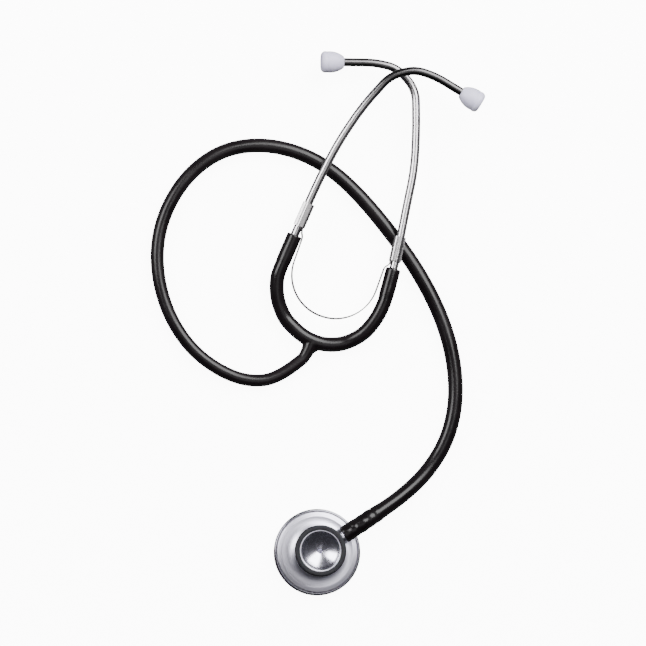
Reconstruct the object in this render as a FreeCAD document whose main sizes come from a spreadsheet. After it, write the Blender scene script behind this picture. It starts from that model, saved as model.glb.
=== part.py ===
"""Dual-head stethoscope, lying with its diaphragm down.

Millimetres. The origin is the centre of the diaphragm's face, +Z is up, and +Y runs from
the chest piece towards the ear tips. The headset is built in a frame of its own: its x runs
from the left arm to the right arm, its y from the moulded junction to the ear tips.
"""
import FreeCAD, Part
import math
import os

import Sketcher

V = FreeCAD.Vector
PLACE = FreeCAD.Placement
TURN = FreeCAD.Rotation

SIZES = {
    # chest piece, as (radius, height above the diaphragm's face)
    "dish_r": 22.3, "dish_seat": 1.9, "dish_top": 5.9, "rim_ring_r": 23.7, "rim_ring_top": 5.5,
    "rim_ring_low": 0.3, "rim_lip_r": 20.7, "film_r": 19.6, "film_flange_r": 21.6,
    "film_thick": 0.4, "film_step": 0.9, "gasket_r": 20.3, "cove_r": 19.5, "neck_r": 9.0,
    "neck_low": 13.0, "neck_high": 15.6, "bell_groove_r": 12.0, "bell_lip_r": 12.6,
    "bell_mouth_r": 10.7, "bell_flare": 22.3, "bell_groove": 23.5, "bell_top": 25.0,
    "bell_bevel_r": 9.4, "bell_bevel": 23.4, "bell_throat_r": 1.2, "bell_throat": 19.6,
    "sound_bore_r": 1.1, "bell_rim_r": 14.0, "bell_rim_inner_r": 11.3, "bell_rim_top": 26.0,
    # stem, along its own axis from the chest piece's centre
    "stem_height": 12.8, "stem_r": 3.0, "stem_socket_r": 3.05, "socket_boss_r": 5.2,
    "socket_boss_end": 12.4, "stem_inner_end": 4.2, "socket_depth": 4.5, "collar_from": 12.6,
    "collar_to": 16.4, "collar_r": 4.6, "spigot_r": 2.35, "barb_r": 2.7, "barb_pitch": 5.0,
    "stem_end": 33.0, "stem_bore_r": 1.4, "detent_at": 5.0, "detent_groove_r": 2.6,
    "ring_groove_at": 9.5, "ring_groove_r": 1.92, "o_ring_mid_r": 2.46, "o_ring_wire_r": 0.52,
    "ball_r": 1.0, "ball_out": 3.66, "pocket_r": 1.05, "coil_r": 0.75, "coil_wire_r": 0.14,
    "coil_from": 4.42, "coil_to": 6.0, "plug_from": 6.05, "plug_to": 7.35,
    # tubing
    "cord_r": 4.0, "cord_bore_r": 2.4, "arm_r": 3.95, "arm_bore_r": 2.25, "junction_r": 4.1,
    "junction_ball_r": 4.4, "junction_bore_r": 2.0, "tail_r": 3.7,
    # headset
    "ear_tube_r": 2.2, "ear_tube_bore_r": 1.6, "bush_r": 2.9, "bush_bore_r": 2.25,
    "bush_long": 7.0, "tip_neck_r": 3.4, "tip_widest_r": 5.8, "tip_face_r": 4.3,
    "tip_long": 12.7, "tip_hole_r": 1.6, "tip_socket_deep": 8.0,
    "leaf_thick": 0.6, "leaf_wide": 4.4, "clip_wall": 0.45, "clip_half": 2.85,
    "clip_gap": 0.12, "clip_lip": 2.9, "clip_long": 13.6,
}

STEM_TURN = 33.0
HEADSET_ORIGIN = V(-3.1, 117.15, 0)
HEADSET_TURN = -18.6
ARM_MOUTH_Y = 50.0
ARM_MOUTH_Z = 12.0
# the left ear tube rises out of the yoke, so that it passes over the right one
SIDE_TILT = {"left": 6.0, "right": 0.0}

# centre line of the long tube, from the junction's tail to the stem's collar
CORD_ROUTE = [
    (-11, 104.3, 4.2), (-22.5, 95, 4.2), (-38, 92.8, 4.2), (-54, 98.5, 4.2),
    (-69.5, 110.5, 4.2), (-81, 128, 4.2), (-87.5, 148, 4.2), (-88.5, 169, 4.2),
    (-83, 189, 4.2), (-71, 207.5, 4.2), (-53.5, 220.5, 4.2), (-33, 224.5, 4.2),
    (-12, 221, 4.2), (7, 211.5, 4.2), (24, 196, 4.2), (41, 175.5, 4.2),
    (56, 154.5, 4.2), (68, 131.5, 4.2), (75, 109, 4.2), (77, 85, 4.2),
    (72.5, 63.5, 4.2), (62, 45.5, 4.2), (47.5, 31.5, 7.4), (31, 20.13, 12.8),
    (13.84, 8.99, 12.8),
]

# in the headset's frame: each arm from the junction to the start of its straight mouth
ARM_ROUTE = {
    "left": [(-10, 2.6, 4.4), (-18.4, 6.76, 4.4), (-25.6, 15, 6.6), (-29.1, 25, 9.1)],
    "right": [(10, 0.6, 4.4), (18.8, 3.56, 4.4), (26.3, 11.5, 7.2), (30, 21.5, 10.6)],
}
JUNCTION_ROUTE = [(-10, 2.6, 4.4), (0.5, -2.6, 4.4), (10, 0.6, 4.4)]
TAIL_START = (0.3, -0.5, 4.4)
TAIL_STRAIGHT = 5.2
JUNCTION_BALL = (0.1, -1.2, 4.4)

# in each side's own plane, from the middle of the arm's mouth
EAR_TUBE_ROUTE = {
    "left": [(-28.67, -15), (-26.8, 9), (-25, 31), (-21.4, 56), (-15, 79.5), (-6.2, 100),
             (5.5, 107.6), (18, 107.6), (40.6, 102.7)],
    "right": [(30.82, -15), (29.4, 8.5), (26.2, 32), (23.4, 56), (17.4, 77.5), (10, 98.5),
              (-3.5, 106.2), (-16, 105), (-39.1, 97.3)],
}
ARM_STRAIGHT_FROM = -18.5
CLIP_FROM = {"left": 5.6, "right": 4.4}
TIP_LAPS_TUBE = 6.0

# the leaf spring's free stretch, in the headset's frame, and its bends' radii. None is a
# bend as large as its runs allow, and the spring's ends follow the clips.
LEAF_ROUTE = [(-22.95, 50.4, 12.1), (-23.35, 12.9, 10.1), (24.25, 12.9, 10.1),
              (24.9, 49.8, 11.9)]
LEAF_RADII = [None, None, 23.6, 23.6, None, None]
LEAF_STOP = 0.8
LEAF_BEND_BELOW_CLIP = 2.2


class Size:
    """A number together with the sheet expression that gives it."""

    def __init__(self, value, text):
        self.value = value
        self.text = text

    def join(self, other, sign, value):
        text = other.text if isinstance(other, Size) else repr(other)
        return Size(value, "(%s %s %s)" % (self.text, sign, text))

    def __add__(self, other):
        return self.join(other, "+", self.value + number(other))

    def __sub__(self, other):
        return self.join(other, "-", self.value - number(other))

    def __mul__(self, other):
        return self.join(other, "*", self.value * number(other))

    def __truediv__(self, other):
        return self.join(other, "/", self.value / number(other))


def number(size):
    return size.value if isinstance(size, Size) else float(size)


def bind(thing, name, size):
    """Sets one property from the sheet, or to a plain number."""
    if isinstance(size, Size):
        thing.setExpression(name, size.text)
    else:
        setattr(thing, name, size)


doc = FreeCAD.newDocument("stethoscope")
sheet = doc.addObject("Spreadsheet::Sheet", "Sizes")
S = type("Sizes", (), {})()
for row, (alias, value) in enumerate(SIZES.items(), start=1):
    sheet.set("A%d" % row, alias)
    sheet.set("B%d" % row, str(value))
    sheet.setAlias("B%d" % row, alias)
    setattr(S, alias, Size(value, "Sizes.%s" % alias))
doc.recompute()

finished = {}


def keep(thing, node, place=None):
    """Names a finished sub-part after its node."""
    if place is not None:
        thing.Placement = place
    thing.Label = node
    finished[node] = thing
    return thing


# ---- outlines and turned pieces -------------------------------------------------------


def arc_edge(start, end, radius, side):
    """A circular edge from start to end. side is 1 where it turns left, -1 where right."""
    chord = end - start
    middle = (start + end) * 0.5
    reach = math.sqrt(max(radius ** 2 - (chord.Length / 2) ** 2, 0))
    left = V(-chord.y, chord.x, 0).normalize()
    centre = middle + left * (reach * side)
    angles = [math.atan2(p.y - centre.y, p.x - centre.x) for p in (start, end)]
    if side < 0:
        angles.reverse()
    circle = Part.Circle(centre, V(0, 0, 1), radius)
    return Part.ArcOfCircle(circle, angles[0], angles[1])


def outline(body, role, corners):
    """A closed sketch on one of the body's own planes, every corner bound to the sheet.
    A corner is (x, y), or (x, y, radius, side) where an arc leaves it."""
    plane = [p for p in body.Origin.OriginFeatures if p.Role == role][0]
    sketch = body.newObject("Sketcher::SketchObject", "Outline")
    sketch.AttachmentSupport = [(plane, "")]
    sketch.MapMode = "FlatFace"
    count = len(corners)
    points = [V(number(c[0]), number(c[1]), 0) for c in corners]
    ends = []
    for i, corner in enumerate(corners):
        start, end = points[i], points[(i + 1) % count]
        if len(corner) == 2:
            sketch.addGeometry(Part.LineSegment(start, end))
            ends.append((1, 2))
            continue
        sketch.addGeometry(arc_edge(start, end, number(corner[2]), corner[3]))
        ends.append((1, 2) if corner[3] > 0 else (2, 1))
        sketch.addConstraint(Sketcher.Constraint("Radius", i, number(corner[2])))
    for i in range(count):
        after = (i + 1) % count
        sketch.addConstraint(
            Sketcher.Constraint("Coincident", i, ends[i][1], after, ends[after][0]))
    for i, corner in enumerate(corners):
        for kind, size, axis in (("DistanceX", corner[0], -2), ("DistanceY", corner[1], -1)):
            if not isinstance(size, Size) and size == 0:
                sketch.addConstraint(Sketcher.Constraint("PointOnObject", i, ends[i][0], axis))
                continue
            mark = sketch.addConstraint(
                Sketcher.Constraint(kind, -1, 1, i, ends[i][0], number(size)))
            if isinstance(size, Size):
                sketch.setExpression("Constraints[%d]" % mark, size.text)
    return sketch


def turned(name, corners):
    """A piece turned about its own Z axis from an outline in x (radius) and y (height)."""
    body = doc.addObject("PartDesign::Body", name)
    sketch = outline(body, "XZ_Plane", corners)
    spin = body.newObject("PartDesign::Revolution", name + "_turn")
    spin.Profile = sketch
    spin.ReferenceAxis = (sketch, ["V_Axis"])
    spin.Angle = 360
    body.Tip = spin
    return body


def padded(name, corners, long):
    """A straight section drawn on the XY plane and drawn out along Z."""
    body = doc.addObject("PartDesign::Body", name)
    sketch = outline(body, "XY_Plane", corners)
    pad = body.newObject("PartDesign::Pad", name + "_pad")
    pad.Profile = sketch
    bind(pad, "Length", long)
    body.Tip = pad
    return body


def cylinder(name, radius, long, base, direction):
    """A round bar from base along direction."""
    bar = doc.addObject("Part::Cylinder", name)
    bind(bar, "Radius", radius)
    bind(bar, "Height", long)
    bar.Placement = PLACE(base, TURN(V(0, 0, 1), direction))
    return bar


def cut(name, base, tools):
    """base with every tool taken away. The result has to be smaller than base."""
    joined = tools[0]
    if len(tools) > 1:
        joined = doc.addObject("Part::MultiFuse", name + "_tools")
        joined.Shapes = tools
    result = doc.addObject("Part::Cut", name)
    result.Base = base
    result.Tool = joined
    doc.recompute()
    if not result.Shape.Volume < base.Shape.Volume - 0.01:
        raise RuntimeError("%s: nothing was cut away" % name)
    return result


def fuse(name, pieces):
    result = doc.addObject("Part::MultiFuse", name)
    result.Shapes = pieces
    result.Refine = True
    return result


# ---- bent tubes -----------------------------------------------------------------------


def rounded_route(points, radii=None, share=0.45):
    """Straight runs joined by tangent arcs, and the arcs' radii. An arc takes share of the
    shorter of its two runs, unless radii holds a radius for it."""
    points = [V(*p) for p in points]
    edges, found, at = [], [], points[0]
    for i in range(1, len(points) - 1):
        back = points[i - 1] - points[i]
        ahead = points[i + 1] - points[i]
        half = (math.pi - back.getAngle(ahead)) / 2
        reach = share * min(back.Length, ahead.Length)
        if radii and radii[i - 1]:
            reach = radii[i - 1] * math.tan(half)
        radius = reach / math.tan(half)
        back.normalize()
        ahead.normalize()
        start = points[i] + back * reach
        end = points[i] + ahead * reach
        inward = (back + ahead).normalize()
        middle = points[i] + inward * (radius / math.cos(half) - radius)
        edges.append(Part.LineSegment(at, start).toShape())
        edges.append(Part.Arc(start, middle, end).toShape())
        found.append(radius)
        at = end
    edges.append(Part.LineSegment(at, points[-1]).toShape())
    return Part.Wire(edges), found


def swept(wire, radius):
    """A round bar along the wire."""
    first = wire.Edges[0]
    start = first.valueAt(first.FirstParameter)
    along = first.tangentAt(first.FirstParameter)
    ring = Part.Wire([Part.Circle(start, along, radius).toShape()])
    return wire.makePipeShell([ring], True, False)


def bent_tube(node, route, outer, bore, place=None, radii=None):
    """A tube along a route, as one solid. Its volume has to be its section times its length."""
    wire, found = rounded_route(route, radii)
    shape = swept(wire, outer).cut(swept(wire, bore))
    ideal = math.pi * (outer ** 2 - bore ** 2) * wire.Length
    if len(shape.Solids) != 1 or abs(shape.Volume / ideal - 1) > 0.01:
        raise RuntimeError("%s: the swept tube isn't whole" % node)
    print("%s: length %.1f, least radius %.1f" % (node, wire.Length, min(found)))
    tube = doc.addObject("Part::Feature", node)
    tube.Shape = shape.Solids[0]
    keep(tube, node, place)
    return found


# ---- places ---------------------------------------------------------------------------

stem_place = PLACE(V(0, 0, 0), TURN(V(0, 0, 1), STEM_TURN))
headset_place = PLACE(HEADSET_ORIGIN, TURN(V(0, 0, 1), HEADSET_TURN))


def side_place(side):
    """The plane that one ear tube is bent in, with its origin between the arms' mouths."""
    rise = PLACE(V(0, ARM_MOUTH_Y, ARM_MOUTH_Z), TURN(V(1, 0, 0), SIDE_TILT[side]))
    return headset_place.multiply(rise)


def along_stem(distance, across=0.0):
    """A point on the stem's axis in the chest piece's frame, with its axis along +X."""
    return V(distance, across, SIZES["stem_height"])


# ---- chest piece ----------------------------------------------------------------------


def make_chestpiece_body():
    """Dish, neck and bell in one turned piece, bored for the stem and for the sound."""
    turned_shape = turned("head_blank", [
        (0, S.dish_seat + 0.9),
        (S.cove_r - 0.6, S.dish_seat + 0.5),
        (S.cove_r + 0.3, S.dish_seat),
        (S.dish_r, S.dish_seat),
        (S.dish_r, S.dish_top - 0.3),
        (S.dish_r - 0.4, S.dish_top + 0.1),
        (S.cove_r, S.dish_top + 0.7, 10.0, -1),
        (S.neck_r, S.neck_low),
        (S.neck_r, S.neck_high, 11.0, -1),
        (S.bell_groove_r, S.bell_flare),
        (S.bell_groove_r, S.bell_groove),
        (S.bell_lip_r, S.bell_groove),
        (S.bell_lip_r, S.bell_top),
        (S.bell_mouth_r, S.bell_top),
        (S.bell_bevel_r, S.bell_bevel),
        (S.bell_throat_r, S.bell_throat),
        (0, S.bell_throat),
    ])
    boss = cylinder("socket_boss", S.socket_boss_r, S.socket_boss_end, along_stem(0), V(1, 0, 0))
    socket = cylinder("stem_socket", S.stem_socket_r, S.socket_boss_end + S.socket_depth + 2,
                      along_stem(-SIZES["socket_depth"]), V(1, 0, 0))
    sound = cylinder("sound_bore", S.sound_bore_r, S.bell_top, V(0, 0, 1), V(0, 0, 1))
    pocket = cylinder("detent_pocket", S.pocket_r, S.neck_r + 1, along_stem(SIZES["detent_at"]),
                      V(0, 1, 0))
    blank = fuse("head_with_boss", [turned_shape, boss])
    doc.recompute()
    keep(cut("head_bored", blank, [socket, sound, pocket]), "chestpiece_body", stem_place)


def make_bell_rim():
    """Soft ring snapped over the bell's lip."""
    keep(turned("rim", [
        (S.bell_rim_inner_r, S.bell_top + 0.05),
        (S.bell_lip_r + 0.05, S.bell_top + 0.05),
        (S.bell_lip_r + 0.05, S.bell_groove - 0.05),
        (S.bell_groove_r + 0.05, S.bell_groove - 0.05),
        (S.bell_groove_r + 0.05, S.bell_flare),
        (S.bell_rim_r - 0.8, S.bell_flare),
        (S.bell_rim_r, S.bell_flare + 0.9),
        (S.bell_rim_r, S.bell_rim_top - 0.9, 0.9, 1),
        (S.bell_rim_r - 0.9, S.bell_rim_top),
        (S.bell_rim_inner_r + 0.5, S.bell_rim_top, 0.5, 1),
        (S.bell_rim_inner_r, S.bell_rim_top - 0.5),
    ]), "bell_rim")


def make_diaphragm():
    """Stiff film with a raised flange, so that its face stands just proud of the ring."""
    keep(turned("film", [
        (0, 0),
        (S.film_r, 0),
        (S.film_r + 0.7, S.film_step),
        (S.film_flange_r, S.film_step),
        (S.film_flange_r, S.film_step + S.film_thick),
        (S.film_r + 0.5, S.film_step + S.film_thick),
        (S.film_r - 0.2, S.film_thick),
        (0, S.film_thick),
    ]), "diaphragm")


def make_diaphragm_gasket():
    top = S.dish_seat - 0.02
    low = S.film_step + S.film_thick + 0.02
    keep(turned("gasket", [
        (S.gasket_r, low), (S.film_flange_r, low), (S.film_flange_r, top), (S.gasket_r, top),
    ]), "diaphragm_gasket")


def make_diaphragm_ring():
    """Screwed ring that clamps the diaphragm's flange against the dish."""
    wall = S.dish_r + 0.05
    keep(turned("clamp_ring", [
        (S.rim_lip_r, S.rim_ring_low),
        (S.rim_ring_r - 0.8, S.rim_ring_low, 0.8, 1),
        (S.rim_ring_r, S.rim_ring_low + 0.8),
        (S.rim_ring_r, S.rim_ring_top - 1.0, 1.0, 1),
        (S.rim_ring_r - 1.0, S.rim_ring_top),
        (wall, S.rim_ring_top),
        (wall, S.dish_seat - 0.05),
        (S.film_flange_r + 0.15, S.dish_seat - 0.05),
        (S.film_flange_r + 0.15, S.film_step - 0.05),
        (S.rim_lip_r, S.film_step - 0.05),
    ]), "diaphragm_ring")


# ---- stem and detent ------------------------------------------------------------------


def make_stem():
    """Hollow stem with a detent groove, a seal groove, a collar and a barbed spigot."""
    groove = S.detent_at
    seal = S.ring_groove_at
    corners = [
        (0, S.stem_inner_end * -1),
        (S.stem_r - 0.4, S.stem_inner_end * -1),
        (S.stem_r, S.stem_inner_end * -1 + 0.4),
        (S.stem_r, groove - 1.0),
        (S.detent_groove_r, groove - 0.55),
        (S.detent_groove_r, groove + 0.55),
        (S.stem_r, groove + 1.0),
        (S.stem_r, seal - 0.75),
        (S.ring_groove_r, seal - 0.75),
        (S.ring_groove_r, seal + 0.75),
        (S.stem_r, seal + 0.75),
        (S.stem_r, S.collar_from),
        (S.collar_r - 0.7, S.collar_from),
        (S.collar_r, S.collar_from + 0.9),
        (S.collar_r, S.collar_to - 0.5),
        (S.collar_r - 0.5, S.collar_to),
        (S.spigot_r, S.collar_to),
    ]
    for barb in range(3):
        foot = S.collar_to + S.barb_pitch * barb + 1.6
        corners += [(S.spigot_r, foot), (S.barb_r, foot + 0.2), (S.spigot_r, foot + 3.0)]
    corners += [(S.spigot_r, S.stem_end - 0.3), (S.spigot_r - 0.3, S.stem_end),
                (0, S.stem_end)]
    blank = turned("stem_blank", corners)
    blank.Placement = PLACE(along_stem(0), TURN(V(0, 0, 1), V(1, 0, 0)))
    bore = cylinder("stem_bore", S.stem_bore_r, S.stem_end + 3, along_stem(-1.5), V(1, 0, 0))
    port = cylinder("stem_port", S.sound_bore_r, S.stem_r + 1, along_stem(0), V(0, 0, -1))
    tools = [bore, port]
    for way in (1, -1):
        dimple = doc.addObject("Part::Sphere", "dimple")
        bind(dimple, "Radius", S.ball_r)
        dimple.Placement.Base = along_stem(SIZES["detent_at"], way * (SIZES["ball_out"] - 0.2))
        tools.append(dimple)
    keep(cut("stem_bored", blank, tools), "stem", stem_place)


def make_stem_o_ring():
    ring = doc.addObject("Part::Torus", "seal")
    bind(ring, "Radius1", S.o_ring_mid_r)
    bind(ring, "Radius2", S.o_ring_wire_r)
    upright = PLACE(along_stem(SIZES["ring_groove_at"]), TURN(V(0, 0, 1), V(1, 0, 0)))
    keep(ring, "stem_o_ring", stem_place.multiply(upright))


def make_detent():
    """Ball, coil spring and slotted plug in the neck's cross pocket."""
    def across(distance):
        upright = PLACE(along_stem(SIZES["detent_at"], distance), TURN(V(0, 0, 1), V(0, 1, 0)))
        return stem_place.multiply(upright)

    ball = doc.addObject("Part::Sphere", "ball")
    bind(ball, "Radius", S.ball_r)
    keep(ball, "detent_ball", across(SIZES["ball_out"]))

    tall = SIZES["coil_to"] - SIZES["coil_from"] - 2 * SIZES["coil_wire_r"]
    helix = Part.makeHelix(tall / 3, tall, SIZES["coil_r"])
    ring = Part.Wire([Part.Circle(V(SIZES["coil_r"], 0, 0), V(0, 1, 0),
                                  SIZES["coil_wire_r"]).toShape()])
    coil = doc.addObject("Part::Feature", "coil")
    coil.Shape = Part.Wire(helix.Edges).makePipeShell([ring], True, True)
    keep(coil, "detent_spring", across(SIZES["coil_from"] + SIZES["coil_wire_r"]))

    plug = cylinder("plug", S.pocket_r - 0.02, S.plug_to - S.plug_from, V(0, 0, 0), V(0, 0, 1))
    slot = doc.addObject("Part::Box", "plug_slot")
    slot.Length = 3
    slot.Width = 0.35
    slot.Height = 1
    slot.Placement.Base = V(-1.5, -0.175, SIZES["plug_to"] - SIZES["plug_from"] - 0.45)
    keep(cut("plug_slotted", plug, [slot]), "detent_plug", across(SIZES["plug_from"]))


# ---- tubing ---------------------------------------------------------------------------


def make_main_tube():
    radii = bent_tube("main_tube", CORD_ROUTE, SIZES["cord_r"], SIZES["cord_bore_r"])
    print("main_tube radii: " + ", ".join("%.0f" % r for r in radii))


def make_y_junction():
    """The moulded middle of the yoke: a bowed tube with a tail that meets the long tube."""
    inverse = headset_place.inverse()
    cord_start, cord_next = V(*CORD_ROUTE[0]), V(*CORD_ROUTE[1])
    back = (cord_start - cord_next).normalize() * TAIL_STRAIGHT
    tail_bend = inverse.multVec(cord_start + back)
    tail_end = inverse.multVec(cord_start)
    tail_route = [TAIL_START, tuple(tail_bend), tuple(tail_end)]
    bow = rounded_route(JUNCTION_ROUTE, radii=[22])[0]
    tail = rounded_route(tail_route)[0]
    ball = Part.makeSphere(SIZES["junction_ball_r"], V(*JUNCTION_BALL))
    outer = swept(bow, SIZES["junction_r"]).fuse([swept(tail, SIZES["tail_r"]), ball])
    inner = swept(bow, SIZES["junction_bore_r"]).fuse(swept(tail, SIZES["junction_bore_r"]))
    junction = doc.addObject("Part::Feature", "junction")
    junction.Shape = outer.removeSplitter().cut(inner).Solids[0]
    keep(junction, "y_junction", headset_place)


def make_arms():
    """Soft arms of the yoke. Each ends in a straight mouth that grips its ear tube."""
    inverse = headset_place.inverse()
    for side in ("left", "right"):
        first, second = (V(x, y, 0) for x, y in EAR_TUBE_ROUTE[side][:2])
        along = (second - first).normalize()
        to_headset = inverse.multiply(side_place(side))
        ends = []
        for y in (ARM_STRAIGHT_FROM, 0.3):
            ends.append(to_headset.multVec(first + along * ((y - first.y) / along.y)))
        route = ARM_ROUTE[side] + [tuple(p) for p in ends]
        bent_tube("arm_" + side, route, SIZES["arm_r"], SIZES["arm_bore_r"], headset_place)


# ---- headset --------------------------------------------------------------------------


def make_ear_tubes():
    for side, route in EAR_TUBE_ROUTE.items():
        flat = [(x, y, 0) for x, y in route]
        bent_tube("ear_tube_" + side, flat, SIZES["ear_tube_r"], SIZES["ear_tube_bore_r"],
                  side_place(side))


def tube_end_place(side):
    """A frame at the ear tube's outer end, with +Z along the tube."""
    before, last = (V(x, y, 0) for x, y in EAR_TUBE_ROUTE[side][-2:])
    along = (last - before).normalize()
    return side_place(side).multiply(PLACE(last, TURN(V(0, 0, 1), along)))


def make_ear_tips():
    """A threaded bush on each tube's end, and the soft tip screwed over it."""
    deep = S.tip_socket_deep
    for side in ("left", "right"):
        end = tube_end_place(side)
        bush_from = PLACE(V(0, 0, 0.4 - SIZES["bush_long"]), TURN())
        ring = turned("bush_" + side, [
            (S.bush_bore_r, 0), (S.bush_r, 0), (S.bush_r, S.bush_long),
            (S.bush_bore_r, S.bush_long),
        ])
        keep(ring, "ear_bush_" + side, end.multiply(bush_from))
        tip_from = PLACE(V(0, 0, -TIP_LAPS_TUBE - 1.2), TURN())
        tip = turned("tip_" + side, [
            (S.ear_tube_r + 0.1, 0),
            (S.tip_neck_r - 0.4, 0),
            (S.tip_neck_r, 0.4, 12.0, 1),
            (S.tip_widest_r, S.tip_long * 0.74, 2.6, 1),
            (S.tip_face_r, S.tip_long),
            (S.tip_hole_r, S.tip_long),
            (S.tip_hole_r, deep),
            (S.bush_r + 0.05, deep),
            (S.bush_r + 0.05, 0.35),
            (S.ear_tube_r + 0.1, 0.35),
        ])
        keep(tip, "eartip_" + side, end.multiply(tip_from))


def clip_place(side):
    """A frame on the ear tube's axis at the clip's lower end. Its +Z runs along the tube and
    its +X points across the headset, towards the other tube."""
    route = [(x, y, 0) for x, y in EAR_TUBE_ROUTE[side]]
    line = rounded_route(route)[0].discretize(Number=1500)
    low = CLIP_FROM[side]
    foot, head = (min(line, key=lambda p: abs(p.y - y)) for y in (low, low + SIZES["clip_long"]))
    along = (head - foot).normalize()
    across = V(along.y, -along.x, 0) * (1 if side == "left" else -1)
    turn = TURN(across, along.cross(across), along, "ZXY")
    return side_place(side).multiply(PLACE(foot, turn))


def leaf_offset():
    """From the ear tube's axis to the middle of the strip that lies beside it."""
    return SIZES["ear_tube_r"] + SIZES["clip_gap"] + SIZES["leaf_thick"] / 2


def make_spring_clips():
    """Sheet channels crimped round each ear tube and the leaf spring's end."""
    back = S.ear_tube_r + S.leaf_thick + S.clip_gap * 2
    inner = S.clip_half
    outer = S.clip_half + S.clip_wall
    lip = S.clip_half * 0.72
    bend = S.clip_lip * -0.25
    for side in ("left", "right"):
        channel = padded("channel_" + side, [
            (back + S.clip_wall, outer * -1),
            (back + S.clip_wall, outer),
            (bend, outer),
            (S.clip_lip * -1, lip + S.clip_wall),
            (S.clip_lip * -1, lip),
            (bend, inner),
            (back, inner),
            (back, inner * -1),
            (bend, inner * -1),
            (S.clip_lip * -1, lip * -1),
            (S.clip_lip * -1, (lip + S.clip_wall) * -1),
            (bend, outer * -1),
        ], S.clip_long)
        keep(channel, "spring_clip_" + side, clip_place(side))


def make_leaf_spring():
    """Flat steel strip bent to a U, standing on its edge, with an end in each clip."""
    inverse = headset_place.inverse()
    ends = {}
    for side in ("left", "right"):
        strip = inverse.multiply(clip_place(side))
        reach = (SIZES["clip_long"] - LEAF_STOP, -LEAF_BEND_BELOW_CLIP)
        ends[side] = [tuple(strip.multVec(V(leaf_offset(), 0, z))) for z in reach]
    route = ends["left"] + LEAF_ROUTE + ends["right"][::-1]
    wire = rounded_route(route, radii=LEAF_RADII)[0]
    first = wire.Edges[0]
    start = first.valueAt(first.FirstParameter)
    along = first.tangentAt(first.FirstParameter)
    across = along.cross(V(0, 0, 1)).normalize() * (SIZES["leaf_thick"] / 2)
    up = V(0, 0, SIZES["leaf_wide"] / 2)
    corners = [start + across + up, start - across + up, start - across - up,
               start + across - up]
    section = Part.makePolygon(corners + corners[:1])
    sweep = Part.BRepOffsetAPI.MakePipeShell(wire)
    sweep.setBiNormalMode(V(0, 0, 1))
    sweep.add(section)
    sweep.build()
    sweep.makeSolid()
    leaf = doc.addObject("Part::Feature", "leaf")
    leaf.Shape = sweep.shape()
    keep(leaf, "leaf_spring", headset_place)


def write_parts():
    """Checks every object, then writes one STEP file for each sub-part."""
    doc.recompute()
    for thing in doc.Objects:
        if "Invalid" in thing.State or "Error" in thing.State:
            raise RuntimeError("%s failed: %s" % (thing.Label, thing.State))
    os.makedirs("parts", exist_ok=True)
    for node, thing in finished.items():
        shape = thing.Shape
        if shape.isNull() or not shape.isValid() or not shape.Solids:
            raise RuntimeError("%s has no valid solid" % node)
        shape.exportStep(os.path.join("parts", node + ".step"))
        print("%-18s %9.1f mm3" % (node, shape.Volume))


make_chestpiece_body()
make_bell_rim()
make_diaphragm()
make_diaphragm_gasket()
make_diaphragm_ring()
make_stem()
make_stem_o_ring()
make_detent()
make_main_tube()
make_y_junction()
make_arms()
make_ear_tubes()
make_ear_tips()
make_spring_clips()
make_leaf_spring()
write_parts()
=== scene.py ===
"""Dual-head stethoscope: its visible pieces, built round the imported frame, and its stage.

Run as a script. Plain lengths are in millimetres and go through MM on their way to metres.
"""

import bisect
import math

import bmesh
import bpy
from bpy.props import FloatProperty, FloatVectorProperty, PointerProperty
from mathutils import Matrix, Vector, noise


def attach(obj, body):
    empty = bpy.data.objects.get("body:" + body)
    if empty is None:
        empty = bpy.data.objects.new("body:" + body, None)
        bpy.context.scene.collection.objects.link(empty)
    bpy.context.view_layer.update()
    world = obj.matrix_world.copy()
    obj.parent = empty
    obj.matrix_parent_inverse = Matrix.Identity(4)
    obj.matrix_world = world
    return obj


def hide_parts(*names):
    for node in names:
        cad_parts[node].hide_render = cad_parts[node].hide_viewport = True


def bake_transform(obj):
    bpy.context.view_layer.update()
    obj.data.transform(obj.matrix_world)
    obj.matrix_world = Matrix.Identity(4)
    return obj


bl_info = {
    "name": "Stethoscope",
    "version": (1, 0, 0),
    "blender": (4, 5, 0),
    "location": "View3D > Sidebar > Stethoscope",
    "description": "Builds the pieces of a dual-head stethoscope and its stage",
    "category": "Object",
}

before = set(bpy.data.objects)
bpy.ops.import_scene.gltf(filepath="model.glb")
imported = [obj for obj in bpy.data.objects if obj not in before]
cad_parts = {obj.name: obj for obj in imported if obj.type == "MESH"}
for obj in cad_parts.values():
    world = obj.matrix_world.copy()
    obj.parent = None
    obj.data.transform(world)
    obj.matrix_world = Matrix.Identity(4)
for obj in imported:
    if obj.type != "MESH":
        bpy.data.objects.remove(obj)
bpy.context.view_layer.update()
MM = 0.001
SHARP_EDGE = math.radians(38)

# the long tube's route, from the moulded Y to the stem's collar
CORD_ROUTE = [
    (-10.6, 104, 4.2), (-22, 94.9, 4.2), (-38, 93.3, 4.2), (-54, 99.2, 4.2),
    (-69.5, 111, 4.2), (-81, 128, 4.2), (-87.5, 148, 4.2), (-88.5, 169, 4.2),
    (-83, 189, 4.2), (-71, 207.5, 4.2), (-53.5, 220.5, 4.2), (-33, 224.5, 4.2),
    (-12, 221, 4.2), (7, 211.5, 4.2), (24, 196, 4.2), (41, 175.5, 4.2),
    (56, 154.5, 4.2), (68, 131.5, 4.2), (75, 109, 4.2), (77, 85, 4.2),
    (72.5, 63.5, 4.2), (62, 45.5, 4.2), (47.5, 31.5, 7.4), (31, 20.13, 12.8),
    (13.84, 8.99, 12.8),
]
STEM_IN_TUBE = 17.0
BARB_PITCH = 5.0

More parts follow.
